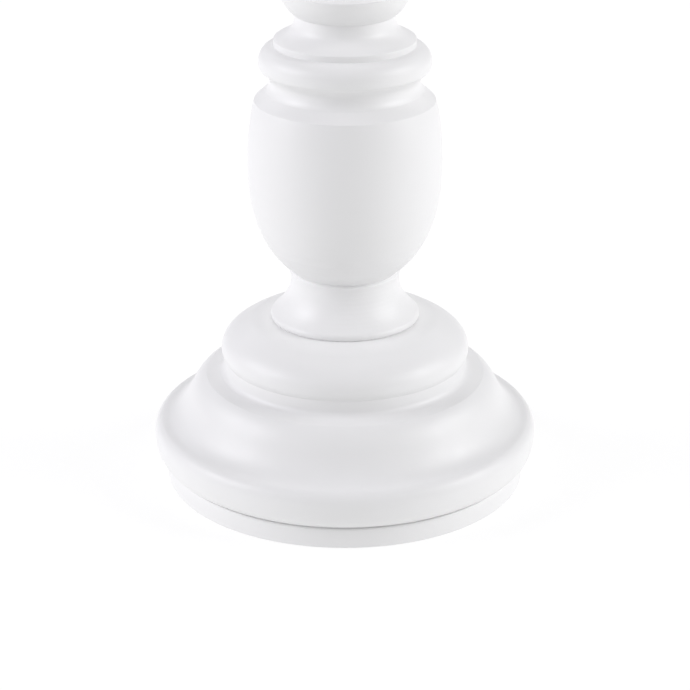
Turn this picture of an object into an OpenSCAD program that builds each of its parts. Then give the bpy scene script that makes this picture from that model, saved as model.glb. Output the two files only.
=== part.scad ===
// Turned wooden candlestick. Ten turned sections stand in line above a foot band, centred
// on each other by round spigots and drawn together by one steel tie rod on the axis.
// The origin is on the axis, on the plane that the felt pad stands on. +Z is up.

/* [Foot] */
// Diameter of the foot band
foot_d = 121.8; // [116:0.2:124]
// Height of the foot band
foot_h = 7; // [5:0.1:9]
// Thickness of the felt pad
felt_t = 2; // [1.5:0.1:3]
// How far the felt stands proud of the foot
felt_proud = 0.3; // [0.3:0.1:1]

/* [Base] */
// Widest diameter of the base moulding
base_d = 130; // [127:0.5:136]
// Height of the base moulding
base_h = 36; // [33:0.2:40]
// Diameter of the dome tier
dome_d = 83.6; // [80:0.2:88]
// Height of the dome tier
dome_h = 14.2; // [12:0.1:17]
// Diameter of the collar's rolled edge
collar_d = 50; // [47:0.5:54]
// Height of the collar
collar_h = 16.9; // [15:0.1:22]
// Diameter of the neck under the vase
neck_d = 37.2; // [34:0.2:40]

/* [Vase] */
// Belly diameter of the vase
vase_d = 64; // [61:0.5:68]
// Height of the vase
vase_h = 61.7; // [55:0.1:75]
// Diameter of the vase's shoulder rim
shoulder_d = 59.2; // [54:0.2:60]

/* [Knop and ring] */
// Diameter of the bead above the vase
bead_d = 56.2; // [52:0.2:58]
// Height of the knop, from the vase's shoulder to the top of its neck
knop_h = 25.2; // [23:0.2:30]
// Diameter of the flared ring under the stem
ring_d = 43; // [41:0.5:48]
// Height of the flared ring
ring_h = 10; // [8:0.2:13]

/* [Stem and cup] */
// Largest diameter of the upper stem
stem_d = 36; // [32:0.5:40]
// Height of the upper stem
stem_h = 70; // [60:1:100]
// Diameter of the bead ring on the stem
stem_bead_d = 33; // [31:0.5:36]
// Height of the bead ring
stem_bead_h = 9; // [8:0.5:12]
// Top diameter of the cup
cup_d = 72; // [66:0.5:80]
// Height of the cup
cup_h = 28; // [24:0.5:36]

/* [Dish] */
// Diameter of the drip dish
dish_d = 112; // [100:1:124]
// Height of the drip dish
dish_h = 18; // [18:0.5:22]
// Depth of the hollow that the candle stands in
dish_hollow = 6; // [5:0.5:6.5]
// Diameter of the metal plate
plate_d = 60; // [50:1:70]
// Height of the pricket's point above the plate
pricket_h = 27; // [20:1:40]

/* [Hidden] */
$fn = 96;

paint = [0.94, 0.94, 0.93];
raw_wood = [0.80, 0.66, 0.47];
steel = [0.72, 0.73, 0.75];
felt = [0.24, 0.25, 0.25];

// Points on each curved stretch of an outline
steps = 10;

// M8 tie rod with its nuts and washers, and the round pockets that they sit in
rod_r = 4;
rod_bore_r = 4.3;
nut_flats = 13;
nut_h = 6.5;
washer_r = 12;
washer_t = 1.6;
pocket_r = 13;
// Free height over each nut; the rod's end takes up half of it
rod_end = 2;

// Spigots are this much smaller than their mortises, and this much shorter
glue_gap = 0.1;
end_gap = 1;
big_spigot_r = 15;
mid_spigot_r = 12;
small_spigot_r = 9;
top_spigot_r = 7.5;
mortise_h = 8;
big_mortise_h = 9;
spigot_h = mortise_h - end_gap;

// Half the height, and the depth, of the groove at the joint under the vase
groove_h = 0.6;
groove_depth = 0.8;

// How far a cutting shape runs past the face it opens
over = 1;

// Foot
felt_r = 54;
felt_gap = 0.5;
foot_hole_r = 15;
foot_screw_count = 4;
foot_screw_circle_r = 36;
foot_screw_r = 2;
foot_screw_head_r = 4;
foot_screw_head_h = 2.4;
foot_screw_len = 18;
foot_edge = 0.6;
lower_pocket_depth = 10;

// Steps inwards from the rims: foot to base (whose own edge has a chamfer), dome to its band,
// collar's rolled edge to its foot, vase to knop, bead to flange, ring to its foot, bead fillets
foot_ledge = 0.8;
foot_chamfer = 0.9;
band_step = 0.9;
roll_step = 0.25;
vase_ledge = 3.6;
bead_step = 5;
ring_flare = 5.2;
fillet_step = 0.8;

// Dish
dish_lip = 1.6;
dish_bank = 9;
dish_cove = 2;

// Pricket and its plate
plate_t = 1.2;
plate_screw_count = 3;
plate_screw_circle_r = plate_d / 2 - 6;
plate_screw_r = 1.5;
plate_screw_head_r = 2.8;
plate_screw_head_h = 1.3;
plate_screw_len = 7;
pricket_r = 3;
pricket_collar_r = 5;
pricket_collar_h = 1.6;
pricket_flange_r = 8;
pricket_flange_h = 1.2;

// Heights at which the pieces start
foot_z = felt_proud;
base_z = foot_z + foot_h;
dome_z = base_z + base_h;
collar_z = dome_z + dome_h;
vase_z = collar_z + collar_h;
knop_z = vase_z + vase_h;
ring_z = knop_z + knop_h;
stem_z = ring_z + ring_h;
stem_bead_z = stem_z + stem_h;
cup_z = stem_bead_z + stem_bead_h;
dish_z = cup_z + cup_h;
dish_floor_z = dish_z + dish_h - dish_hollow;
plate_z = dish_floor_z;
lower_seat_z = base_z + lower_pocket_depth;
upper_seat_z = dish_floor_z - pricket_flange_h - rod_end - nut_h - washer_t;
rod_bottom_z = lower_seat_z - washer_t - nut_h - rod_end / 2;
rod_top_z = upper_seat_z + washer_t + nut_h + rod_end / 2;

// ---- outlines ----------------------------------------------------------------

function heading(a) = [cos(a), sin(a)];

function turn(a0, a1) = abs((a1 - a0 + 540) % 360 - 180);

// Length of a curve's handles: the one that makes an arc of this turn round
function reach(span, t) = t < 1 ? span / 3 : span * (4 / 3 * tan(t / 4)) / (2 * sin(t / 2));

function on_cubic(a, b, c, d, t) =
    pow(1 - t, 3) * a + 3 * pow(1 - t, 2) * t * b + 3 * (1 - t) * t * t * c + pow(t, 3) * d;

// Smooth stretch from p, leaving at angle a0, to q, arriving at angle a1; p itself is left out
function curve(p, a0, q, a1) =
    let (h = reach(norm(q - p), turn(a0, a1)))
    [for (i = [1:steps]) on_cubic(p, p + h * heading(a0), q - h * heading(a1), q, i / steps)];

// Solid of revolution from outline points [radius, height]
module lathe(points) {
    rotate_extrude() polygon(concat([[0, points[0].y]], points, [[0, points[len(points) - 1].y]]));
}

// Upright round bar from height z0 to z1, drawn as itself or cut away
module bar(r, z0, z1) {
    translate([0, 0, z0]) cylinder(r = r, h = z1 - z0);
}

// Turned section that starts at height z, with a spigot below it and a mortise in its top.
// The tie rod's bore runs right through.
module section(points, z, spigot_r = 0, spigot_h = 0, mortise_r = 0, mortise_h = 0) {
    top = z + points[len(points) - 1].y;
    difference() {
        union() {
            translate([0, 0, z]) lathe(points);
            if (spigot_r > 0) bar(spigot_r - glue_gap, z - spigot_h, z);
        }
        bar(rod_bore_r, z - spigot_h - over, top + over);
        if (mortise_r > 0) bar(mortise_r, top - mortise_h, top + over);
    }
}

// Ring of n copies on a circle of radius r
module around(n, r) {
    for (i = [0:n - 1]) rotate([0, 0, i * 360 / n + 45]) translate([r, 0, 0]) children();
}

// ---- foot --------------------------------------------------------------------

module felt_pad() {
    color(felt) cylinder(r = felt_r, h = felt_t);
}

// Straight band with both of its edges rounded
function foot_outline() =
    let (r = foot_d / 2)
    concat(
        [[r - foot_edge, 0]],
        curve([r - foot_edge, 0], 0, [r, foot_edge], 90),
        [[r, foot_h - foot_edge]],
        curve([r, foot_h - foot_edge], 90, [r - foot_edge, foot_h], 180)
    );

module foot_ring() {
    color(paint) difference() {
        translate([0, 0, foot_z]) lathe(foot_outline());
        bar(felt_r + felt_gap, foot_z - over, felt_t);
        bar(foot_hole_r, foot_z - over, base_z + over);
        around(foot_screw_count, foot_screw_circle_r) foot_screw(glue_gap);
    }
}

// One countersunk screw, grown by gap when it cuts its own hole
module foot_screw(gap) {
    translate([0, 0, felt_t]) {
        cylinder(r = foot_screw_r + gap, h = foot_screw_len);
        cylinder(r1 = foot_screw_head_r + gap, r2 = foot_screw_r + gap, h = foot_screw_head_h);
    }
}

module foot_screws() {
    color(steel) around(foot_screw_count, foot_screw_circle_r) foot_screw(0);
}

module rod_plug() {
    color(raw_wood) bar(foot_hole_r - glue_gap, felt_t, base_z - glue_gap);
}

// ---- base --------------------------------------------------------------------

// Chamfer, quarter-round underside, soft brim, steep hollow, then a sloping ledge that turns up
// in a small cove to the band under the dome
function base_outline() =
    let (
        r = base_d / 2,
        start = [foot_d / 2 - foot_ledge, 0],
        under = start + [foot_chamfer, foot_chamfer],
        widest = [r, 0.262 * base_h],
        brim = [r - 3.4, 0.394 * base_h],
        slope = [0.812 * r, 0.642 * base_h],
        ledge = [0.724 * r, 0.832 * base_h],
        cove = [dome_d / 2 + 1, 0.853 * base_h],
        band = [dome_d / 2 - band_step, 0.905 * base_h]
    )
    concat(
        [start, under],
        curve(under, 15, widest, 90),
        curve(widest, 90, brim, 172),
        curve(brim, 172, slope, 116),
        curve(slope, 116, ledge, 152),
        [cove],
        curve(cove, 170, band, 92),
        [[band.x, base_h]]
    );

module base_moulding() {
    color(paint) difference() {
        section(base_outline(), base_z, mortise_r = big_spigot_r, mortise_h = big_mortise_h);
        bar(pocket_r, base_z - over, lower_seat_z);
        around(foot_screw_count, foot_screw_circle_r) foot_screw(glue_gap);
    }
}

// Dome that rolls out over the band below it and in to the collar
function dome_outline() =
    let (
        start = [dome_d / 2 - band_step, 0],
        equator = [dome_d / 2, 0.2 * dome_h],
        crown = [0.77 * dome_d / 2, 0.885 * dome_h]
    )
    concat(
        [start],
        curve(start, 55, equator, 90),
        curve(equator, 90, crown, 152),
        curve(crown, 152, [collar_d / 2, dome_h], 177)
    );

module base_dome() {
    spigot_len = big_mortise_h - end_gap;
    color(paint) section(dome_outline(), dome_z, big_spigot_r, spigot_len, mid_spigot_r, mortise_h);
}

// Rolled edge, then one long hollow up to the neck
function collar_outline() =
    let (
        foot = [collar_d / 2 - roll_step, 0],
        roll = [collar_d / 2, 0.035 * collar_h],
        brow = [collar_d / 2 - 0.7, 0.13 * collar_h],
        neck = [neck_d / 2, collar_h - groove_h]
    )
    concat(
        [foot],
        curve(foot, 50, roll, 90),
        curve(roll, 90, brow, 140),
        curve(brow, 140, neck, 73),
        [[neck.x - groove_depth, collar_h]]
    );

module foot_collar() {
    color(paint) section(collar_outline(), collar_z, mid_spigot_r, spigot_h, small_spigot_r, mortise_h);
}

// ---- vase --------------------------------------------------------------------

// Egg with its sharp shoulder rim and a ledge that slopes up to the knop
function vase_outline() =
    let (
        start = [neck_d / 2 - 0.4, groove_h],
        belly = [vase_d / 2, 0.58 * vase_h],
        rim = [shoulder_d / 2, 0.948 * vase_h]
    )
    concat(
        [[neck_d / 2 - groove_depth, 0], start],
        curve(start, 37, belly, 90),
        curve(belly, 90, rim, 106),
        [[knop_foot_r(), vase_h]]
    );

module vase() {
    color(paint) section(vase_outline(), vase_z, small_spigot_r, spigot_h, mid_spigot_r, mortise_h);
}

// ---- knop and ring -----------------------------------------------------------

function knop_foot_r() = shoulder_d / 2 - vase_ledge;

function knop_flange_r() = bead_d / 2 - bead_step;

function knop_top_r() = ring_d / 2 - ring_flare;

// Hollow, half-round bead, square flange and a hollow neck
function knop_outline() =
    let (
        bead_r = bead_d / 2,
        hollow = [knop_foot_r() - 1.4, 0.125 * knop_h],
        bead_foot = [bead_r - 1.1, 0.275 * knop_h],
        bead_mid = [bead_r, 0.395 * knop_h],
        flange = [knop_flange_r(), 0.6 * knop_h],
        flange_top = [knop_flange_r(), 0.68 * knop_h],
        throat = [knop_top_r() + 0.3, 0.89 * knop_h]
    )
    concat(
        [[knop_foot_r(), 0]],
        curve([knop_foot_r(), 0], 135, hollow, 90),
        curve(hollow, 90, bead_foot, 45),
        curve(bead_foot, 20, bead_mid, 90),
        curve(bead_mid, 90, flange, 172),
        [flange_top],
        curve(flange_top, 146, throat, 100),
        curve(throat, 105, [knop_top_r(), knop_h], 90)
    );

module shoulder_knop() {
    color(paint) section(knop_outline(), knop_z, mid_spigot_r, spigot_h, small_spigot_r, mortise_h);
}

// Radius at which the stem stands on the ring
function stem_foot_r() = 0.37 * stem_d;

// Flared ring: its round underside ends in a sharp rim, its top is nearly flat
module stem_ring() {
    rim = [ring_d / 2, 0.83 * ring_h];
    color(paint) difference() {
        translate([0, 0, ring_z]) lathe(concat(
            [[knop_top_r(), 0]],
            curve([knop_top_r(), 0], 36, rim, 80),
            [[stem_foot_r(), ring_h]]
        ));
        bar(small_spigot_r, ring_z - over, stem_z + over);
    }
}

// ---- stem and cup ------------------------------------------------------------

function stem_top_r() = 0.36 * stem_d;

// Slender upper stem that swells towards its top
function stem_outline() =
    let (
        waist = [0.32 * stem_d, 0.10 * stem_h],
        swell = [0.5 * stem_d, 0.78 * stem_h],
        neck = [stem_top_r(), stem_h]
    )
    concat(
        [[stem_foot_r(), 0]],
        curve([stem_foot_r(), 0], 160, waist, 88),
        curve(waist, 82, swell, 90),
        curve(swell, 90, neck, 155)
    );

module upper_stem() {
    spigot_len = ring_h + spigot_h;
    color(paint) section(stem_outline(), stem_z, small_spigot_r, spigot_len, top_spigot_r, mortise_h);
}

// Half-round bead between two small fillets
module stem_bead() {
    lip = 0.14 * stem_bead_h;
    foot = [stem_bead_d / 2 - 4, lip];
    mid = [stem_bead_d / 2, stem_bead_h / 2];
    head = [stem_bead_d / 2 - 4, stem_bead_h - lip];
    color(paint) difference() {
        translate([0, 0, stem_bead_z]) lathe(concat(
            [[foot.x - fillet_step, 0], [foot.x - fillet_step, lip]],
            [foot],
            curve(foot, 8, mid, 90),
            curve(mid, 90, head, 172),
            [[head.x - fillet_step, head.y], [head.x - fillet_step, stem_bead_h]]
        ));
        bar(top_spigot_r, stem_bead_z - over, cup_z + over);
    }
}

// Hollow neck, then a bell that flares to a square fillet under the dish
function cup_outline() =
    let (
        foot = [stem_bead_d / 2 - 4.8, 0],
        neck = [stem_bead_d / 2 - 6, 0.28 * cup_h],
        flare = [cup_d / 2 - 7, 0.80 * cup_h],
        lip = [cup_d / 2, 0.87 * cup_h]
    )
    concat(
        [foot],
        curve(foot, 125, neck, 88),
        curve(neck, 88, flare, 20),
        [[lip.x - 1.2, flare.y + 0.6], lip, [lip.x, cup_h]]
    );

module candle_cup() {
    spigot_len = stem_bead_h + spigot_h;
    color(paint) section(cup_outline(), cup_z, top_spigot_r, spigot_len, big_spigot_r, mortise_h);
}

// ---- dish --------------------------------------------------------------------

// Ovolo underside, narrow square edge and a rounded lip round the hollow
function dish_outline() =
    let (
        r = dish_d / 2,
        foot = [cup_d / 2 + 2, 0],
        edge = [r - 1.5, 0.52 * dish_h]
    )
    concat(
        [foot],
        curve(foot, 4, edge, 78),
        [[r, edge.y + 0.5], [r, dish_h - dish_lip]],
        curve([r, dish_h - dish_lip], 90, [r - dish_lip, dish_h], 180),
        [[r - 2 * dish_lip, dish_h]]
    );

// The hollow's wall leans outwards and meets the floor in a small cove
module dish_hollow_cut() {
    wall_r = dish_d / 2 - dish_bank;
    rim_r = dish_d / 2 - 2 * dish_lip;
    translate([0, 0, dish_floor_z]) lathe(concat(
        [[wall_r - dish_cove, 0]],
        curve([wall_r - dish_cove, 0], 0, [wall_r, dish_cove], 78),
        [[rim_r, dish_hollow], [rim_r, dish_hollow + over]]
    ));
}

module drip_dish() {
    color(paint) difference() {
        section(dish_outline(), dish_z, big_spigot_r, spigot_h);
        dish_hollow_cut();
        bar(pocket_r, upper_seat_z, dish_floor_z + over);
        around(plate_screw_count, plate_screw_circle_r) plate_screw(glue_gap);
    }
}

// ---- metal parts -------------------------------------------------------------

module tie_rod() {
    color(steel) bar(rod_r, rod_bottom_z, rod_top_z);
}

module washer(z) {
    color(steel) difference() {
        bar(washer_r, z, z + washer_t);
        bar(rod_bore_r, z - over, z + washer_t + over);
    }
}

module nut(z) {
    color(steel) difference() {
        translate([0, 0, z]) cylinder(d = nut_flats / cos(30), h = nut_h, $fn = 6);
        bar(rod_r, z - over, z + nut_h + over);
    }
}

module lower_washer() { washer(lower_seat_z - washer_t); }
module lower_nut() { nut(lower_seat_z - washer_t - nut_h); }
module upper_washer() { washer(upper_seat_z); }
module upper_nut() { nut(upper_seat_z + washer_t); }

module plate_screw(gap) {
    head_z = plate_z + plate_t;
    translate([0, 0, head_z - plate_screw_len]) cylinder(r = plate_screw_r + gap, h = plate_screw_len);
    translate([0, 0, head_z - plate_screw_head_h])
        cylinder(r1 = plate_screw_r + gap, r2 = plate_screw_head_r + gap, h = plate_screw_head_h);
}

module plate_screws() {
    color(steel) around(plate_screw_count, plate_screw_circle_r) plate_screw(0);
}

module pricket_plate() {
    top_z = plate_z + plate_t;
    color(steel) difference() {
        bar(plate_d / 2, plate_z, top_z);
        bar(pricket_collar_r + glue_gap, plate_z - over, top_z + over);
        around(plate_screw_count, plate_screw_circle_r) plate_screw(glue_gap);
    }
}

// Spike whose collar comes up through the plate; its flange is held under the plate
module pricket() {
    top_z = plate_z + plate_t;
    tip_r = 0.4;
    color(steel) translate([0, 0, top_z]) lathe([
        [pricket_flange_r, -plate_t - pricket_flange_h],
        [pricket_flange_r, -plate_t],
        [pricket_collar_r, -plate_t],
        [pricket_collar_r, 0.6 * pricket_collar_h],
        [pricket_r + 0.6, pricket_collar_h],
        [pricket_r, pricket_collar_h + 0.8],
        [tip_r, pricket_h]
    ]);
}

felt_pad();
foot_ring();
foot_screws();
rod_plug();
lower_nut();
lower_washer();
tie_rod();
base_moulding();
base_dome();
foot_collar();
vase();
shoulder_knop();
stem_ring();
upper_stem();
stem_bead();
candle_cup();
drip_dish();
upper_washer();
upper_nut();
pricket_plate();
pricket();
plate_screws();
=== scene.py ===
"""Looks of the turned wooden candlestick: each turned section is lathed again from its CAD
outline with paint-softened edges, the metal parts get their bevels, recesses and threads,
and every surface gets a procedural material. Metres throughout, in the CAD frame."""
import math

import bmesh
import bpy
import numpy as np
from mathutils import Matrix, Vector, noise
from mathutils.bvhtree import BVHTree


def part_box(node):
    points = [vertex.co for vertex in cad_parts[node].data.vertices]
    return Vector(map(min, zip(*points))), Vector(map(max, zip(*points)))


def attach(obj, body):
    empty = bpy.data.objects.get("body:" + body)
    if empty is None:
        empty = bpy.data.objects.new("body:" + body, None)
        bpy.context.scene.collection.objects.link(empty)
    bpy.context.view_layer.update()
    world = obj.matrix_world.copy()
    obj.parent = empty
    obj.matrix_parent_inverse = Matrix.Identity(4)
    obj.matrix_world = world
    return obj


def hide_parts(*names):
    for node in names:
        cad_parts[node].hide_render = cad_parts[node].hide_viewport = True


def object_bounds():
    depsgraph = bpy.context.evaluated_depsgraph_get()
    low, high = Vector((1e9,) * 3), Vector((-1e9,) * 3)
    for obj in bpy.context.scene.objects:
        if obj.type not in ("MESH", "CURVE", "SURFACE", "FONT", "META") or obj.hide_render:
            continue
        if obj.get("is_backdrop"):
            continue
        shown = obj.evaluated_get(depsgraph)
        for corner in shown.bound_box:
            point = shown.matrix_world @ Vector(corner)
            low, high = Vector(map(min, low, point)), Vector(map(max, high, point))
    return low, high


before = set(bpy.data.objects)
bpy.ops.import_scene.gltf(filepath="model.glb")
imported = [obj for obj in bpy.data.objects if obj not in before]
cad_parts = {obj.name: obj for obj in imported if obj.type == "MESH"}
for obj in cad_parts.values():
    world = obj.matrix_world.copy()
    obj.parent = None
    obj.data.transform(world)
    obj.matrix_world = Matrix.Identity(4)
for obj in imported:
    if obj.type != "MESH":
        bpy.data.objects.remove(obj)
cad_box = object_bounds()

MM = 0.001
BODY = "root"

# ---- the turned sections --------------------------------------------------------

TURNED = ["foot_ring", "base_moulding", "base_dome", "foot_collar", "vase", "shoulder_knop",
          "stem_ring", "upper_stem", "stem_bead", "candle_cup", "drip_dish"]
# Sections cut across the board, whose grain lies flat instead of along the axis
FLAT_GRAIN = {"foot_ring", "base_moulding", "base_dome", "drip_dish"}

# Radius of a painted edge, and of one that lies in a joint
EDGE_R = 0.45 * MM
JOINT_EDGE_R = 0.02 * MM
# A face this close to another piece is a joint face
CONTACT = 0.12 * MM
# Upright walls that face the axis are bores up to this radius
BORE_MAX_R = 16 * MM
# A wall is upright where the outline drops by more than this share of its own length
UPRIGHT = 0.98
# Paint reaches this far into a joint
PAINT_CREEP = 1.0 * MM

# ---- reading and smoothing outlines ---------------------------------------------

# Points this close are one point, and this close to the axis they lie on it
TINY = 0.001 * MM
# Angle of the cutting half-plane in radians, just off zero so that no vertex lies in it
SECTION_TURN = 0.001
# Outline points closer than this, or with less of a bend, are dropped
DOUBLED = 0.01 * MM
MIDPOINT_BEND_DEG = 0.4
# A bend past this is a corner
CORNER_DEG = 20
# A slighter bend than that is a corner too where it joins two straights this long
STRAIGHT_BEND_DEG = 1.5
LONG_STRAIGHT = 5.5 * MM
# Rounding takes no more than this share of a stretch at either end
MOST_CUT = 0.42
# A ring this far from a rounded corner keeps the shading of the flat beside it flat
SUPPORT = 0.25 * MM
# Distance between rings along curves and along straights
RING_STEP = 0.6 * MM
STRAIGHT_STEP = 1.8 * MM

# ---- mesh density and shading ---------------------------------------------------

# Steps round the axis: for wood and wide pieces, for small metal pieces and for hole cutters
AROUND = 192
METAL_AROUND = 96
HOLE_AROUND = 24
# A mesh edge with more of an angle than this is shaded sharp
SHARP_DEG = 35
NUT_SHARP_DEG = 20

# ---- fasteners ------------------------------------------------------------------

# Shank radius and cone height of each kind of screw, and cone height of its hole, as shares
# of the head's radius
SCREWS = {
    "foot_screws": {"shank": 0.5, "cone": 0.6, "hole_cone": 0.6, "head_up": False},
    "plate_screws": {"shank": 0.53, "cone": 0.46, "hole_cone": 0.5, "head_up": True},
}
HOLE_SHANK = 0.55
SCREW_GAP = 0.1 * MM
# The rim of a screw's head is broken over this height
HEAD_EDGE = 0.25 * MM
# Share of the pitch that is a flat crest
CREST_FLAT = 0.2
# Each screw stops at a turn of its own, in radians
FIRST_TURN = 0.7
NEXT_TURN = 1.9

# M8 thread, and the length over which it runs out at the rod's ends
M8_PITCH = 1.25 * MM
M8_DEPTH = 0.77 * MM
RUN_OUT = 1.0 * MM

# Nut: radius of the end face and width of the chamfer outside it, as shares of the flats
NUT_FACE = 0.47
NUT_CHAMFER = 0.16
NUT_CHAMFER_DEG = 30
BORE_LEAD = 0.5 * MM


# ---- outlines from the CAD nodes ------------------------------------------------

def merged(node):
    """The CAD node's mesh with its split vertices joined, as a bmesh."""
    bm = bmesh.new()
    bm.from_mesh(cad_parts[node].data)
    bmesh.ops.remove_doubles(bm, verts=bm.verts, dist=TINY)
    return bm


def half_section(node):
    """The longest loop of [radius, height] where the cutting half-plane meets the node."""
    bm = merged(node)
    across = Vector((-math.sin(SECTION_TURN), math.cos(SECTION_TURN), 0))
    along = Vector((math.cos(SECTION_TURN), math.sin(SECTION_TURN), 0))
    side = {v: v.co.dot(across) for v in bm.verts}
    point = {}
    links = {}
    for edge in bm.edges:
        a, b = edge.verts
        if (side[a] < 0) == (side[b] < 0):
            continue
        co = a.co.lerp(b.co, side[a] / (side[a] - side[b]))
        point[edge.index] = np.array((co.dot(along), co.z))
        links[edge.index] = []
    for face in bm.faces:
        cut = [e.index for e in face.edges if e.index in point]
        for a, b in zip(cut[::2], cut[1::2]):
            links[a].append(b)
            links[b].append(a)
    loops = []
    left = set(point)
    while left:
        loop = [min(left)]
        left.discard(loop[0])
        while True:
            onward = [e for e in links[loop[-1]] if e in left]
            if not onward:
                break
            loop.append(onward[0])
            left.discard(onward[0])
        loops.append(np.array([point[e] for e in loop]))
    bm.free()
    return max((p for p in loops if p[:, 0].max() > 0), key=len)


def one_way(loop):
    """The loop counter-clockwise in (radius, height), so that its left side is the solid."""
    x, y = loop[:, 0], loop[:, 1]
    area = np.sum(x * np.roll(y, -1) - np.roll(x, -1) * y)
    return loop if area > 0 else loop[::-1]


def to_axis(loop):
    """The right-hand half of a loop that crosses the axis, closed along the axis."""
    loop = one_way(loop)
    right = loop[:, 0] > TINY
    first = int(np.argmax(right & ~np.roll(right, 1)))
    half = np.roll(loop, -first, 0)[:right.sum()]
    return np.vstack([[0, half[0, 1]], half, [0, half[-1, 1]]])


def without_midpoints(loop):
    """The loop without doubled points and without points on straight stretches."""
    keep = np.linalg.norm(loop - np.roll(loop, 1, 0), axis=1) > DOUBLED
    loop = loop[keep]
    ahead = np.roll(loop, -1, 0) - loop
    behind = loop - np.roll(loop, 1, 0)
    cross = ahead[:, 0] * behind[:, 1] - ahead[:, 1] * behind[:, 0]
    bend = np.abs(cross) / (np.linalg.norm(ahead, axis=1) * np.linalg.norm(behind, axis=1))
    return loop[bend > math.sin(math.radians(MIDPOINT_BEND_DEG))]


def turn_angles(loop):
    """How far the loop turns at each point, in radians, positive to the left."""
    ahead = np.roll(loop, -1, 0) - loop
    behind = loop - np.roll(loop, 1, 0)
    d = np.arctan2(ahead[:, 1], ahead[:, 0]) - np.arctan2(behind[:, 1], behind[:, 0])
    return (d + math.pi) % (2 * math.pi) - math.pi


def smooth_run(points):
    """A centripetal Catmull-Rom curve through the points of one smooth stretch."""
    if len(points) == 2:
        span = np.linalg.norm(points[1] - points[0])
        n = max(1, math.ceil(span / STRAIGHT_STEP))
        return points[0] + (points[1] - points[0]) * np.linspace(0, 1, n + 1)[:, None]
    first = 2 * points[0] - points[1]
    last = 2 * points[-1] - points[-2]
    p = np.vstack([first, points, last])
    out = [points[:1]]
    for i in range(1, len(p) - 2):
        a, b, c, d = p[i - 1:i + 3]
        t = np.cumsum([0] + [max(np.linalg.norm(v), 1e-9) ** 0.5 for v in (b - a, c - b, d - c)])
        n = max(1, math.ceil(np.linalg.norm(c - b) / RING_STEP))
        s = np.linspace(t[1], t[2], n + 1)[1:, None]
        ab = ((t[1] - s) * a + (s - t[0]) * b) / (t[1] - t[0])
        bc = ((t[2] - s) * b + (s - t[1]) * c) / (t[2] - t[1])
        cd = ((t[3] - s) * c + (s - t[2]) * d) / (t[3] - t[2])
        abc = ((t[2] - s) * ab + (s - t[0]) * bc) / (t[2] - t[0])
        bcd = ((t[3] - s) * bc + (s - t[1]) * cd) / (t[3] - t[1])
        out.append(((t[2] - s) * abc + (s - t[1]) * bcd) / (t[2] - t[1]))
    return np.vstack(out)


def trimmed(run, cut0, cut1):
    """The run without its first cut0 and last cut1 of length, with a support point at each end."""
    step = np.linalg.norm(np.diff(run, axis=0), axis=1)
    at = np.concatenate([[0], np.cumsum(step)])
    s0, s1 = cut0, at[-1] - cut1
    support = min(SUPPORT, (s1 - s0) / 4)
    clear = 1.5 * support
    inner = at[(at > s0 + clear) & (at < s1 - clear)]
    s = np.concatenate([[s0, s0 + support], inner, [s1 - support, s1]])
    return np.stack([np.interp(s, at, run[:, k]) for k in (0, 1)], 1)


def rounded_corner(p, corner, q, steps=5):
    """The points between p and q on the curve that rounds the corner off, ends left out."""
    t = np.linspace(0, 1, steps + 1)[1:-1, None]
    return (1 - t) ** 2 * p + 2 * (1 - t) * t * corner + t ** 2 * q


def softened(loop, edge_radius):
    """The loop with smooth stretches made smooth and each corner rounded to edge_radius(corner)."""
    loop = one_way(without_midpoints(loop))
    angles = np.abs(turn_angles(loop))
    length = np.linalg.norm(np.roll(loop, -1, 0) - loop, axis=1)
    straights = np.minimum(length, np.roll(length, 1)) > LONG_STRAIGHT
    slight = straights & (angles > math.radians(STRAIGHT_BEND_DEG))
    corners = [int(i) for i in np.nonzero((angles > math.radians(CORNER_DEG)) | slight)[0]]
    runs = []
    for i, j in zip(corners, corners[1:] + [corners[0] + len(loop)]):
        runs.append(smooth_run(loop[np.arange(i, j + 1) % len(loop)]))
    lengths = [np.linalg.norm(np.diff(r, axis=0), axis=1).sum() for r in runs]
    cuts = []
    for k, i in enumerate(corners):
        want = edge_radius(loop[i]) * math.tan(angles[i] / 2)
        cuts.append(min(want, MOST_CUT * lengths[k], MOST_CUT * lengths[k - 1]))
    parts = []
    for k in range(len(runs)):
        onward = (k + 1) % len(runs)
        body = trimmed(runs[k], cuts[k], cuts[onward])
        after = trimmed(runs[onward], cuts[onward], cuts[(onward + 1) % len(runs)])[0]
        parts += [body, rounded_corner(body[-1], loop[corners[onward]], after)]
    points = np.vstack(parts)
    return points[np.linalg.norm(points - np.roll(points, 1, 0), axis=1) > TINY]


# ---- meshes -------------------------------------------------------------------

def new_object(name, bm, materials):
    """The bmesh as an object of the scene, shaded smooth between its sharp edges."""
    bmesh.ops.recalc_face_normals(bm, faces=bm.faces)
    mesh = bpy.data.meshes.new(name)
    bm.to_mesh(mesh)
    bm.free()
    for material in materials:
        mesh.materials.append(material)
    mesh.shade_smooth()
    mesh.set_sharp_from_angle(angle=math.radians(SHARP_DEG))
    obj = bpy.data.objects.new(name, mesh)
    bpy.context.scene.collection.objects.link(obj)
    return obj


def show(obj, node):
    """Puts the finished piece in the place of its CAD node."""
    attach(obj, BODY)
    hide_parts(node)
    return obj


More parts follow.
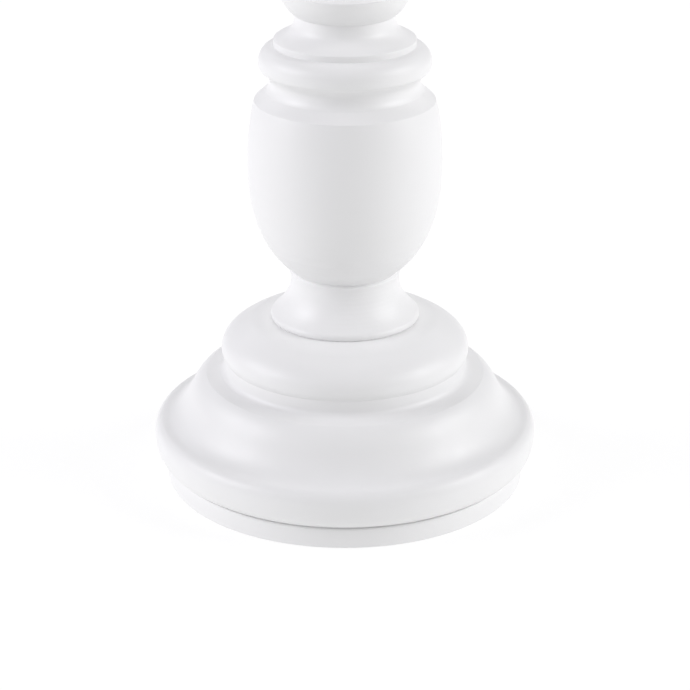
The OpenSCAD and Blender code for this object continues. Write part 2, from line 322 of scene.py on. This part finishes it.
def lathed(loop, around=AROUND, flags=None):
    """A solid of revolution from a closed outline, or from an open one that ends on the axis."""
    bm = bmesh.new()
    angles = [2 * math.pi * k / around for k in range(around)]
    rings = []
    for r, z in loop:
        if r < TINY:
            rings.append([bm.verts.new((0, 0, z))] * around)
        else:
            rings.append([bm.verts.new((r * math.cos(a), r * math.sin(a), z)) for a in angles])
    for i, ring in enumerate(rings):
        onward = rings[(i + 1) % len(rings)]
        for k in range(around):
            m = (k + 1) % around
            corners = list(dict.fromkeys((ring[k], ring[m], onward[m], onward[k])))
            if len(corners) > 2:
                bm.faces.new(corners).material_index = 0 if flags is None else int(flags[i])
    for vert in [v for v in bm.verts if not v.link_faces]:
        bm.verts.remove(vert)
    return bm


def carve(obj, tool, operation="DIFFERENCE", sharp_deg=SHARP_DEG):
    """Cuts the object by the tool's shape and leaves no modifier behind."""
    modifier = obj.modifiers.new("carve", "BOOLEAN")
    modifier.operation = operation
    modifier.solver = "EXACT"
    modifier.object = tool
    evaluated = obj.evaluated_get(bpy.context.evaluated_depsgraph_get())
    result = bpy.data.meshes.new_from_object(evaluated)
    obj.modifiers.clear()
    old, obj.data = obj.data, result
    bpy.data.meshes.remove(old)
    obj.data.set_sharp_from_angle(angle=math.radians(sharp_deg))


# ---- turned wood ----------------------------------------------------------------

def neighbours(node):
    """A search tree over every CAD node but this one."""
    verts, faces = [], []
    for name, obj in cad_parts.items():
        if name == node:
            continue
        base = len(verts)
        verts += [v.co.copy() for v in obj.data.vertices]
        faces += [[base + i for i in p.vertices] for p in obj.data.polygons]
    return BVHTree.FromPolygons(verts, faces)


def in_contact(tree, radius, height):
    """Whether a neighbour touches the outline at this point."""
    return tree.find_nearest(Vector((radius, 0, height)))[3] < CONTACT


def bare_stretches(loop, tree):
    """For each point, whether the stretch that starts there is bare wood: in a bore or a joint,
    and further in than the paint creeps."""
    ahead = np.roll(loop, -1, 0) - loop
    length = np.linalg.norm(ahead, axis=1)
    middle = loop + ahead / 2
    bore = (ahead[:, 1] < -UPRIGHT * length) & (middle[:, 0] < BORE_MAX_R)
    joint = np.array([in_contact(tree, r, z) for r, z in middle])
    inside = bore | joint
    at = np.concatenate([[0], np.cumsum(length)[:-1]]) + length / 2
    painted = at[~inside]
    whole = length.sum()
    bare = []
    for place, is_inside in zip(at, inside):
        gap = np.abs(painted - place)
        bare.append(is_inside and np.minimum(gap, whole - gap).min() > PAINT_CREEP)
    return bare


def turned_section(node, paint, wood, cutters=()):
    """The node lathed again: outside painted and softened, joint faces and bores bare wood."""
    tree = neighbours(node)

    def edge_radius(corner):
        return JOINT_EDGE_R if in_contact(tree, *corner) else EDGE_R

    loop = softened(half_section(node), edge_radius)
    bare = bare_stretches(loop, tree)
    obj = new_object(node + "_turned", lathed(loop, flags=bare), [paint, wood])
    for cutter in cutters:
        carve(obj, cutter)
    return show(obj, node)


# ---- turned and pressed small parts ---------------------------------------------

def softened_all_round(loop, edge):
    """The loop with every corner off the axis rounded to the radius edge."""
    return softened(loop, lambda corner: 0 if corner[0] < TINY else edge)


def small_piece(node, name, material, edge, around=METAL_AROUND):
    """The node lathed again with every edge broken by a radius of edge."""
    loop = half_section(node)
    if loop[:, 0].min() < 0:
        loop = to_axis(loop)
    loop = softened_all_round(loop, edge)
    return show(new_object(name, lathed(loop, around), [material]), node)


def felt_disc(node, name, material):
    """The pad with a soft edge and a slightly uneven face; it only ever goes inwards."""
    edge = 0.6 * MM
    rim_width = 1.2 * MM
    patches_per_m, fibres_per_m = 160, 700
    patch_dip, fibre_dip, ragged = 0.05, 0.03, 0.003
    bm = lathed(softened_all_round(to_axis(half_section(node)), edge))
    low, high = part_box(node)
    middle = (low.z + high.z) / 2
    for v in bm.verts:
        patch = 0.5 + 0.5 * noise.noise(v.co * patches_per_m)
        fibre = 0.5 + 0.5 * noise.noise(v.co * fibres_per_m)
        v.co.z += (middle - v.co.z) * (patch_dip * patch + fibre_dip * fibre)
        if math.hypot(v.co.x, v.co.y) > high.x - rim_width:
            v.co.xy *= 1 - ragged * fibre
    return show(new_object(name, bm, [material]), node)


# ---- threads, screws and nuts ---------------------------------------------------

def threaded_bar(low, high, radii, pitch, around=32, per_turn=8):
    """A bar with a screw thread, closed at both ends: radii(z) gives its core and crest."""
    rows = max(2, round((high - low) / pitch * per_turn))
    bm = bmesh.new()
    rings = []
    for j in range(rows + 1):
        z = low + (high - low) * j / rows
        core, crest = radii(z)
        ring = []
        for k in range(around):
            phase = (z / pitch - k / around) % 1
            ridge = min(1.0, (1 - abs(2 * phase - 1)) / (1 - CREST_FLAT))
            r = core + (crest - core) * ridge
            a = 2 * math.pi * k / around
            ring.append(bm.verts.new((r * math.cos(a), r * math.sin(a), z)))
        rings.append(ring)
    for lower, upper in zip(rings, rings[1:]):
        for k in range(around):
            m = (k + 1) % around
            bm.faces.new((lower[k], lower[m], upper[m], upper[k]))
    for ring, z in ((rings[0], low), (rings[-1], high)):
        middle = bm.verts.new((0, 0, z))
        for k in range(around):
            bm.faces.new((ring[k], ring[(k + 1) % around], middle))
    return bm


def rod_with_thread(node, name, material):
    """M8 threaded rod, its thread run out to the core at both ends."""
    low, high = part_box(node)
    crest = (high.x - low.x) / 2
    core = crest - M8_DEPTH

    def radii(z):
        full = min(1.0, (z - low.z) / RUN_OUT, (high.z - z) / RUN_OUT)
        return core, core + (crest - core) * max(0.0, full)

    bm = threaded_bar(low.z, high.z, radii, M8_PITCH)
    return show(new_object(name, bm, [material]), node)


def recess_blade(name, size, depth, turn):
    """The cutter for one slot of a cross-head recess, from just above height 0 down to -depth."""
    # Height, length and width at either end
    mouth = (0.1 * depth, size, 0.26 * size)
    bottom = (-depth, 0.40 * size, 0.16 * size)
    bm = bmesh.new()
    c, s = math.cos(turn), math.sin(turn)
    corners = []
    for z, length, width in (mouth, bottom):
        for x, y in ((-1, -1), (1, -1), (1, 1), (-1, 1)):
            u, v = x * length / 2, y * width / 2
            corners.append(bm.verts.new((u * c - v * s, u * s + v * c, z)))
    upper, lower = corners[:4], corners[4:]
    bm.faces.new(upper)
    bm.faces.new(lower)
    for k in range(4):
        m = (k + 1) % 4
        bm.faces.new((upper[k], upper[m], lower[m], lower[k]))
    return new_object(name, bm, [])


def wood_screw(name, head_r, head_h, shank_r, length, material):
    """A countersunk cross-head wood screw, head face at height 0, point below."""
    pitch = 0.62 * shank_r + 0.4 * MM
    point_length = 1.6 * shank_r
    core_r = 0.68 * shank_r
    point_r = 0.02 * MM
    # The crest tapers this much later than the core, so the thread reaches the point
    crest_lead = 0.1
    recess_size = 1.2 * head_r
    recess_depth = 0.5 * head_h + 0.4 * MM

    def radii(z):
        if z > -head_h:
            cone_r = head_r - (head_r - shank_r) * -z / head_h
            r = cone_r - HEAD_EDGE * max(0.0, 1 + z / HEAD_EDGE)
            return r, r
        taper = min(1.0, (z + length) / point_length)
        core = core_r * taper + point_r
        crest = shank_r * min(1.0, taper + crest_lead)
        fade = min(1.0, (-head_h - z) / shank_r)
        return shank_r + (core - shank_r) * fade, max(core, crest)

    obj = new_object(name, threaded_bar(-length, 0, radii, pitch), [material])
    for turn in (0, math.pi / 2):
        blade = recess_blade(name + "_blade", recess_size, recess_depth, turn)
        carve(obj, blade)
        bpy.data.objects.remove(blade)
    return obj


def islands(node):
    """(lowest corner, highest corner) of each separate solid in the node, in order round the axis."""
    bm = merged(node)
    left = set(bm.verts)
    boxes = []
    while left:
        front = [left.pop()]
        part = []
        while front:
            v = front.pop()
            part.append(v.co.copy())
            for edge in v.link_edges:
                other = edge.other_vert(v)
                if other in left:
                    left.discard(other)
                    front.append(other)
        boxes.append((Vector(map(min, zip(*part))), Vector(map(max, zip(*part)))))
    bm.free()
    return sorted(boxes, key=lambda b: math.atan2(b[0].y + b[1].y, b[0].x + b[1].x))


def screws(node, name, material):
    """Every screw of the node in one piece."""
    kind = SCREWS[node]
    boxes = islands(node)
    low, high = boxes[0]
    head_r = (high.x - low.x) / 2
    cone, shank = kind["cone"] * head_r, kind["shank"] * head_r
    one = wood_screw(name + "_one", head_r, cone, shank, high.z - low.z, material)
    flip = Matrix.Identity(4) if kind["head_up"] else Matrix.Rotation(math.pi, 4, "X")
    bm = bmesh.new()
    for i, (low, high) in enumerate(boxes):
        face = high.z if kind["head_up"] else low.z
        place = Matrix.Translation(((low.x + high.x) / 2, (low.y + high.y) / 2, face))
        turned = Matrix.Rotation(FIRST_TURN + NEXT_TURN * i, 4, "Z")
        before = len(bm.verts)
        bm.from_mesh(one.data)
        bm.verts.ensure_lookup_table()
        bmesh.ops.transform(bm, matrix=place @ flip @ turned, verts=bm.verts[before:])
    bpy.data.objects.remove(one)
    return show(new_object(name, bm, [material]), node)


def screw_holes(node):
    """A cutter for each screw of the node, as the CAD leaves the hole: the screw and its gap."""
    kind = SCREWS[node]
    cutters = []
    for low, high in islands(node):
        face, point, inwards = (high.z, low.z, -1) if kind["head_up"] else (low.z, high.z, 1)
        r = (high.x - low.x) / 2 + SCREW_GAP
        mouth = face - inwards * MM
        cone = face + inwards * kind["hole_cone"] * r
        end = point + inwards * SCREW_GAP
        shank = HOLE_SHANK * r
        outline = [(0, mouth), (r, mouth), (r, face), (shank, cone), (shank, end), (0, end)]
        cutter = new_object("hole", lathed(np.array(outline), HOLE_AROUND), [])
        cutter.location = ((low.x + high.x) / 2, (low.y + high.y) / 2, 0)
        cutters.append(cutter)
    bpy.context.view_layer.update()
    return cutters


def hexagon_prism(name, flats, middle, height, material):
    """A six-sided bar on the axis, with corners along Y, centred at the height middle."""
    corner_r = flats / math.sqrt(3)
    bm = bmesh.new()
    bmesh.ops.create_cone(bm, cap_ends=True, segments=6, radius1=corner_r, radius2=corner_r,
                          depth=height)
    bmesh.ops.translate(bm, verts=bm.verts, vec=(0, 0, middle))
    return new_object(name, bm, [material])


def hex_nut(node, name, material):
    """Hexagon nut: a round blank with chamfered faces and bore, cut to six sides."""
    low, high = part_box(node)
    flats = min(high.x - low.x, high.y - low.y)
    bore_r = half_section(node)[:, 0].min()
    lead_r = bore_r + BORE_LEAD
    face_r = NUT_FACE * flats
    blank_r = face_r + NUT_CHAMFER * flats
    drop = NUT_CHAMFER * flats * math.tan(math.radians(NUT_CHAMFER_DEG))
    outline = [(lead_r, low.z), (face_r, low.z), (blank_r, low.z + drop),
               (blank_r, high.z - drop), (face_r, high.z), (lead_r, high.z),
               (bore_r, high.z - BORE_LEAD), (bore_r, low.z + BORE_LEAD)]
    obj = new_object(name, lathed(np.array(outline), METAL_AROUND), [material])
    tall = 4 * (high.z - low.z)
    prism = hexagon_prism(name + "_prism", flats, (low.z + high.z) / 2, tall, material)
    carve(obj, prism, "INTERSECT", NUT_SHARP_DEG)
    bpy.data.objects.remove(prism)
    return show(obj, node)


# ---- materials ------------------------------------------------------------------

# Noise seldom leaves this range, which is spread over the whole range of a tone or roughness
NOISE_LOW = 0.3
NOISE_HIGH = 0.7


class Nodes:
    """Short-hand for building a material's node tree."""

    def __init__(self, name):
        self.material = bpy.data.materials.new(name)
        self.material.use_nodes = True
        self.tree = self.material.node_tree
        self.shader = self.tree.nodes["Principled BSDF"]

    def feed(self, socket, value):
        """Links an output to the socket, or sets a plain value on it."""
        if hasattr(value, "links"):
            self.tree.links.new(value, socket)
        else:
            socket.default_value = value

    def add(self, kind, inputs=None, **settings):
        """A new node of this kind: inputs by socket name or number, settings by name."""
        node = self.tree.nodes.new("ShaderNode" + kind)
        for key, value in settings.items():
            setattr(node, key, value)
        for key, value in (inputs or {}).items():
            self.feed(node.inputs[key], value)
        return node

    def set(self, **values):
        """Values of the shader's own sockets."""
        for key, value in values.items():
            self.feed(self.shader.inputs[key.replace("_", " ")], value)

    def position(self, scale=(1, 1, 1)):
        """Object position in millimetres, stretched by scale."""
        place = self.add("TexCoord").outputs["Object"]
        per_mm = [s / MM for s in scale]
        return self.add("Mapping", {"Vector": place, "Scale": per_mm}).outputs["Vector"]

    def noise(self, where, scale, detail=2.0, rough=0.5):
        """Noise about 0.5, finer the larger its scale."""
        inputs = {"Vector": where, "Scale": scale, "Detail": detail, "Roughness": rough}
        return self.add("TexNoise", inputs).outputs["Fac"]

    def spread(self, fac, low, high):
        """Noise spread over low to high."""
        inputs = {"Value": fac, "From Min": NOISE_LOW, "From Max": NOISE_HIGH,
                  "To Min": low, "To Max": high}
        return self.add("MapRange", inputs).outputs["Result"]

    def mix(self, fac, a, b):
        """A colour from a to b by fac."""
        node = self.add("Mix", data_type="RGBA")
        sockets = {s.name: s for s in node.inputs if s.enabled}
        for key, value in (("Factor", fac), ("A", (*a, 1)), ("B", (*b, 1))):
            self.feed(sockets[key], value)
        return next(s for s in node.outputs if s.enabled)

    def bump(self, height, distance, before=None):
        """A normal raised by height times distance, on top of the normal before."""
        inputs = {"Height": height, "Distance": distance, "Strength": 1.0}
        if before is not None:
            inputs["Normal"] = before
        return self.add("Bump", inputs).outputs["Normal"]


def white_paint(name, grain):
    """Sprayed satin paint: fine orange peel, the wood's grain just telegraphing through."""
    clean, yellowed = (0.80, 0.80, 0.80), (0.785, 0.785, 0.783)
    n = Nodes(name)
    here = n.position()
    cloud = n.noise(here, 0.035, 2)
    fibres = n.noise(n.position(grain), 1.0, 3, 0.6)
    peel = n.noise(here, 0.9, 1)
    n.set(Base_Color=n.mix(n.spread(cloud, 0, 1), clean, yellowed))
    n.set(Roughness=n.spread(n.noise(here, 0.2, 2), 0.40, 0.47))
    relief = n.bump(fibres, 0.016 * MM)
    n.set(Normal=n.bump(peel, 0.010 * MM, relief))
    return n.material


def bare_wood():
    """Sanded beech: soft rings and short flecks along the grain."""
    pale, dark = (0.60, 0.42, 0.25), (0.38, 0.24, 0.13)
    n = Nodes("bare_wood")
    rings = n.noise(n.position((1, 1, 0.06)), 0.35, 3, 0.6)
    flecks = n.noise(n.position((1, 1, 0.12)), 2.2, 2)
    tone = n.add("Math", {0: rings, 1: flecks}, operation="MULTIPLY").outputs[0]
    n.set(Base_Color=n.mix(n.spread(tone, 0.2, 1.6), pale, dark))
    n.set(Roughness=n.spread(flecks, 0.62, 0.78))
    n.set(Normal=n.bump(flecks, 0.03 * MM))
    return n.material


def zinc_steel():
    """Bright zinc plate: fine mottling over drawn steel."""
    bright, dull = (0.62, 0.64, 0.67), (0.50, 0.51, 0.52)
    n = Nodes("zinc_steel")
    here = n.position()
    mottle = n.noise(here, 0.6, 4, 0.7)
    n.set(Base_Color=n.mix(n.spread(mottle, 0, 1), bright, dull))
    n.set(Metallic=1.0)
    n.set(Roughness=n.spread(n.noise(here, 2.5, 2), 0.30, 0.46))
    n.set(Normal=n.bump(mottle, 0.01 * MM))
    return n.material


def nickel_plate():
    """Satin nickel, brushed in circles about the axis."""
    warm, dull = (0.66, 0.63, 0.58), (0.60, 0.575, 0.535)
    n = Nodes("nickel_plate")
    here = n.position()
    flat = n.add("VectorMath", {0: here, 1: (1, 1, 0)}, operation="MULTIPLY").outputs["Vector"]
    radius = n.add("VectorMath", {0: flat}, operation="LENGTH").outputs["Value"]
    height = n.add("SeparateXYZ", {0: here}).outputs["Z"]
    lines = n.add("CombineXYZ", {"X": radius, "Y": height}).outputs["Vector"]
    brush = n.noise(lines, 7.0, 3, 0.7)
    n.set(Base_Color=n.mix(n.spread(n.noise(here, 0.12, 2), 0, 1), warm, dull))
    n.set(Metallic=1.0)
    n.set(Roughness=n.spread(brush, 0.26, 0.42))
    n.set(Normal=n.bump(brush, 0.008 * MM))
    return n.material


def pressed_felt():
    """Wool felt: matted fibres with a mottled tone."""
    dark, light = (0.030, 0.032, 0.033), (0.075, 0.078, 0.080)
    n = Nodes("pressed_felt")
    here = n.position()
    warp = n.add("TexNoise", {"Vector": here, "Scale": 0.8, "Detail": 2.0}).outputs["Color"]
    pushed = n.add("VectorMath", {0: warp, 1: (2, 2, 2), 2: here}, operation="MULTIPLY_ADD")
    fibres = n.noise(pushed.outputs["Vector"], 2.6, 4, 0.7)
    mottle = n.noise(here, 0.25, 3)
    both = n.add("Math", {0: fibres, 1: mottle}, operation="ADD").outputs[0]
    tone = n.add("Math", {0: both, 1: 0.5}, operation="MULTIPLY").outputs[0]
    n.set(Base_Color=n.mix(n.spread(tone, 0, 1), dark, light))
    n.set(Roughness=0.95, Sheen_Weight=0.35, Sheen_Roughness=0.5)
    n.set(Normal=n.bump(fibres, 0.12 * MM))
    return n.material


# ---- the stage ------------------------------------------------------------------

# Half the floor's width in metres, its grey and its glow
FLOOR_HALF = 2.5
FLOOR_GREY = 0.25
FLOOR_GLOW = 0.78
# Strength and colour of the light that comes from all round
ROOM_LIGHT = 0.35
ROOM_COLOUR = (1, 0.995, 1.02, 1)

# Softboxes stand this far from the point of the axis that they are aimed at, which is this high
LIGHT_DISTANCE = 4.0
LIGHT_AIM = 0.1
# Turn and rise in degrees, width and height in metres, watts; one of each on either side
SIDE_LIGHTS = {
    "fill": (35, 30, (1.1, 1.5), 5.8),
    "high": (84, 30, (2.6, 1.5), 83),
    "low": (80, 10, (1.1, 1.3), 13.5),
    "back": (145, 30, (1.5, 1.5), 8),
}
BACK_LIGHT = (180, 28, (1.5, 2.0), 19)
# Which way each side turns, and the colour of its lights
SIDES = {"left": (-1, (0.995, 0.985, 1.03)), "right": (1, (1, 0.995, 1.01))}

# The camera looks at this height of the axis, from this far above level and this far away
CAMERA_AIM = 46.0 * MM
CAMERA_RISE_DEG = 22.83
CAMERA_DISTANCE = 0.7842
SENSOR_MM = 36.0
LENS_MM = 120.511


def stage():
    """A pale floor that runs past the picture's edges and glows a little, so shadows stay faint."""
    mesh = bpy.data.meshes.new("floor")
    signs = ((-1, -1), (1, -1), (1, 1), (-1, 1))
    corners = [(x * FLOOR_HALF, y * FLOOR_HALF, 0) for x, y in signs]
    mesh.from_pydata(corners, [], [(0, 1, 2, 3)])
    floor = bpy.data.objects.new("floor", mesh)
    bpy.context.scene.collection.objects.link(floor)
    n = Nodes("floor_white")
    n.set(Base_Color=(FLOOR_GREY, FLOOR_GREY, FLOOR_GREY, 1), Roughness=0.9, Specular_IOR_Level=0.0)
    n.set(Emission_Color=(1, 1, 1, 1), Emission_Strength=FLOOR_GLOW)
    mesh.materials.append(n.material)
    floor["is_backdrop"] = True


def studio():
    """A dim even room that the camera itself sees as plain white."""
    world = bpy.data.worlds.new("studio")
    bpy.context.scene.world = world
    world.use_nodes = True
    tree = world.node_tree
    rays = tree.nodes.new("ShaderNodeLightPath")
    strength = tree.nodes.new("ShaderNodeMapRange")
    strength.inputs["To Min"].default_value = ROOM_LIGHT
    strength.inputs["To Max"].default_value = 1.0
    tree.links.new(rays.outputs["Is Camera Ray"], strength.inputs["Value"])
    background = tree.nodes["Background"]
    background.inputs["Color"].default_value = ROOM_COLOUR
    tree.links.new(strength.outputs["Result"], background.inputs["Strength"])


def softbox(name, turn_deg, rise_deg, size, power, colour=(1, 1, 1)):
    """Area light aimed at the axis; turn 0 is the camera's side, and more turns to the right."""
    turn, rise = math.radians(turn_deg), math.radians(rise_deg)
    level = math.cos(rise)
    way = Vector((math.sin(turn) * level, -math.cos(turn) * level, math.sin(rise)))
    light = bpy.data.lights.new(name, "AREA")
    light.shape = "RECTANGLE"
    light.size, light.size_y = size
    light.energy = power
    light.color = colour
    obj = bpy.data.objects.new(name, light)
    obj.location = Vector((0, 0, LIGHT_AIM)) + LIGHT_DISTANCE * way
    obj.rotation_euler = (-way).to_track_quat("-Z", "Y").to_euler()
    obj.visible_camera = False
    bpy.context.scene.collection.objects.link(obj)


def camera():
    """Looks at the axis from the front and a little from above."""
    cam = bpy.data.cameras.new("camera")
    cam.sensor_width = SENSOR_MM
    cam.lens = LENS_MM
    cam.clip_start = 0.01
    obj = bpy.data.objects.new("camera", cam)
    rise = math.radians(CAMERA_RISE_DEG)
    height = CAMERA_AIM + CAMERA_DISTANCE * math.sin(rise)
    obj.location = (0, -CAMERA_DISTANCE * math.cos(rise), height)
    obj.rotation_euler = (math.pi / 2 - rise, 0, 0)
    bpy.context.scene.collection.objects.link(obj)
    bpy.context.scene.camera = obj


# ---- build ----------------------------------------------------------------------

upright = white_paint("paint_upright_grain", (0.9, 0.9, 0.05))
across = white_paint("paint_flat_grain", (0.05, 0.9, 0.9))
wood = bare_wood()
zinc = zinc_steel()
nickel = nickel_plate()
felt = pressed_felt()

foot_holes = screw_holes("foot_screws")
plate_holes = screw_holes("plate_screws")
holes = {"foot_ring": foot_holes, "base_moulding": foot_holes, "drip_dish": plate_holes}
for node in TURNED:
    paint = across if node in FLAT_GRAIN else upright
    turned_section(node, paint, wood, holes.get(node, ()))

small_piece("rod_plug", "rod_plug_turned", wood, edge=0.4 * MM)
small_piece("pricket", "pricket_spike", nickel, edge=0.25 * MM)
small_piece("lower_washer", "lower_washer_pressed", zinc, edge=0.3 * MM)
small_piece("upper_washer", "upper_washer_pressed", zinc, edge=0.3 * MM)
hex_nut("lower_nut", "lower_nut_hexagon", zinc)
hex_nut("upper_nut", "upper_nut_hexagon", zinc)
rod_with_thread("tie_rod", "tie_rod_threaded", zinc)
screws("foot_screws", "foot_screws_driven", zinc)
screws("plate_screws", "plate_screws_driven", nickel)
plate = small_piece("pricket_plate", "pricket_plate_pressed", nickel,
                    edge=0.35 * MM, around=AROUND)
for cutter in plate_holes:
    carve(plate, cutter)
felt_disc("felt_pad", "felt_pad_soft", felt)
for cutter in foot_holes + plate_holes:
    bpy.data.objects.remove(cutter)

stage()

studio()
for side, (sign, colour) in SIDES.items():
    for place, (turn_deg, rise_deg, size, power) in SIDE_LIGHTS.items():
        softbox(side + "_" + place, sign * turn_deg, rise_deg, size, power, colour)
softbox("back", *BACK_LIGHT)

camera()
bpy.context.scene.view_settings.view_transform = "Standard"

size = {"cad": [list(c) for c in cad_box], "visual": [list(c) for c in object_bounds()]}
